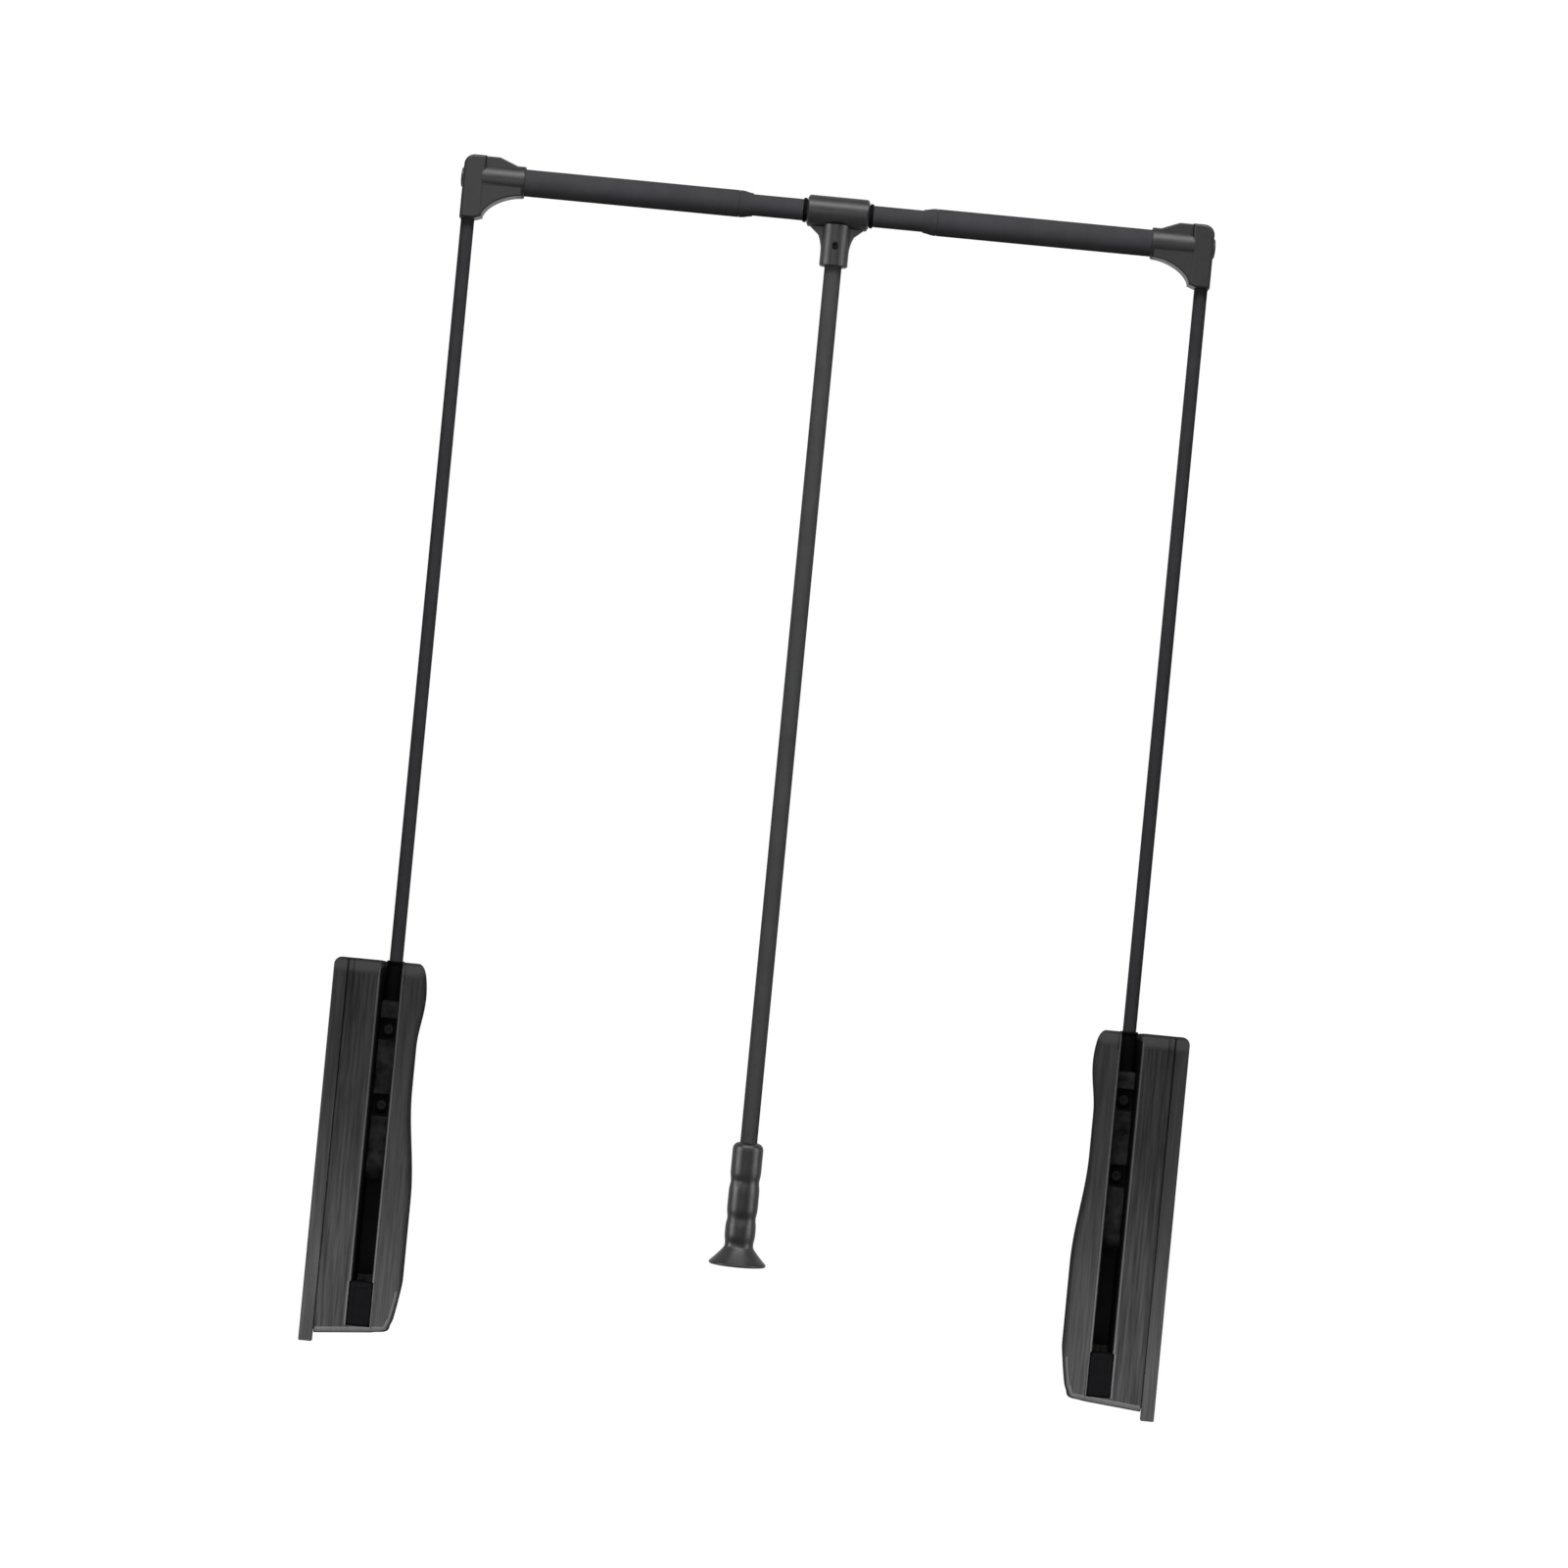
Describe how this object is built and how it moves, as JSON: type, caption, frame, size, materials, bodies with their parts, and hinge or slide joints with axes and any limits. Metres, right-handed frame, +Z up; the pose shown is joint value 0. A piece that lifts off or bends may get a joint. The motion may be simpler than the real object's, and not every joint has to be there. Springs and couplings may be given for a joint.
{
  "type": "pull-down closet rod",
  "caption": "Pull-down closet rod: sprung wall housings swing a telescopic hanging rail forward and down, drawn by a hanging pull rod with a flared grip.",
  "frame": {"origin": "midway between the two wall plates, at mid depth, level with their feet", "axes": "+X along the rail to the right housing, -Y to the front of the closet, +Z up"},
  "size_m": [0.695, 0.095, 0.9717],
  "materials": {
    "moulded_shell": "satin moulded charcoal plastic with a fine vertical grain",
    "moulded_fitting": "smooth moulded charcoal plastic, semi-gloss",
    "coated_tube": "satin charcoal powder coat on steel tube",
    "coated_lever": "black coated die casting",
    "rubber": "matt black rubber",
    "steel": "zinc plated steel",
    "acetal": "natural acetal, satin"
  },
  "bodies": {
    "left_housing": {"left_wall_plate": "moulded_shell", "left_outer_shell": "moulded_shell", "left_inner_cover": "moulded_shell", "left_cover_screw_lower": "steel", "left_cover_screw_upper": "steel", "left_slot_stop": "rubber", "left_outer_bush": "acetal", "left_inner_bush": "acetal", "left_spring_guide": "acetal", "left_spring": "steel", "left_damper_body": "moulded_shell"},
    "left_frame": {"left_pivot_shaft": "steel", "left_shaft_clip": "steel", "left_pinion": "steel", "left_damper_rotor": "acetal", "left_arm_lever": "coated_lever", "left_lever_screw_lower": "steel", "left_lever_screw_upper": "steel", "left_arm": "coated_tube", "left_elbow": "moulded_fitting", "left_elbow_cap": "moulded_fitting", "left_rail_tube": "coated_tube", "left_rail_collar": "moulded_fitting"},
    "left_drive_rack": {"left_rack": "steel"},
    "right_housing": {"right_wall_plate": "moulded_shell", "right_outer_shell": "moulded_shell", "right_inner_cover": "moulded_shell", "right_cover_screw_lower": "steel", "right_cover_screw_upper": "steel", "right_slot_stop": "rubber", "right_outer_bush": "acetal", "right_inner_bush": "acetal", "right_spring_guide": "acetal", "right_spring": "steel", "right_damper_body": "moulded_shell"},
    "right_frame": {"right_pivot_shaft": "steel", "right_shaft_clip": "steel", "right_pinion": "steel", "right_damper_rotor": "acetal", "right_arm_lever": "coated_lever", "right_lever_screw_lower": "steel", "right_lever_screw_upper": "steel", "right_arm": "coated_tube", "right_elbow": "moulded_fitting", "right_elbow_cap": "moulded_fitting", "right_rail_tube": "coated_tube", "right_rail_collar": "moulded_fitting"},
    "right_drive_rack": {"right_rack": "steel"},
    "inner_rail": {"inner_rail_tube": "coated_tube", "left_rail_plug": "acetal", "right_rail_plug": "acetal", "left_stop_ring": "rubber", "right_stop_ring": "rubber"},
    "pull_handle": {"tee": "moulded_fitting", "tee_screw": "steel", "pull_rod": "coated_tube", "grip": "moulded_fitting"}
  },
  "joints": [
    {"name": "width_adjust", "type": "slide", "parent": "left_housing", "child": "right_housing", "axis": [1, 0, 0], "range_m": [-0.08, 0.13]},
    {"name": "swing", "type": "hinge", "parent": "left_housing", "child": "left_frame", "pos_m": [-0.3008, -0.0035, 0.146], "axis": [1, 0, 0], "range_deg": [0, 140], "stiffness_Nm_per_rad": 6.8, "springref_deg": -34.38},
    {"name": "swing_right", "type": "hinge", "parent": "right_housing", "child": "right_frame", "pos_m": [0.3008, -0.0035, 0.146], "axis": [1, 0, 0], "range_deg": [0, 140]},
    {"name": "rail_slide", "type": "slide", "parent": "left_frame", "child": "inner_rail", "axis": [1, 0, 0], "range_m": [-0.04, 0.065]},
    {"name": "handle_swing", "type": "hinge", "parent": "inner_rail", "child": "pull_handle", "pos_m": [0, -0.0035, 0.9533], "axis": [1, 0, 0], "continuous": true},
    {"name": "left_rack_slide", "type": "slide", "parent": "left_housing", "child": "left_drive_rack", "axis": [0, 0, -1], "range_m": [0, 0.044], "deforming": ["left_spring"]},
    {"name": "right_rack_slide", "type": "slide", "parent": "right_housing", "child": "right_drive_rack", "axis": [0, 0, -1], "range_m": [0, 0.044], "deforming": ["right_spring"]}
  ],
  "couplings": [
    {"joint": "swing_right", "follows": "swing", "ratio": 1},
    {"joint": "left_rack_slide", "follows": "swing", "m_per_rad": 0.018},
    {"joint": "right_rack_slide", "follows": "swing", "m_per_rad": 0.018},
    {"joint": "rail_slide", "follows": "width_adjust", "ratio": 0.5}
  ]
}
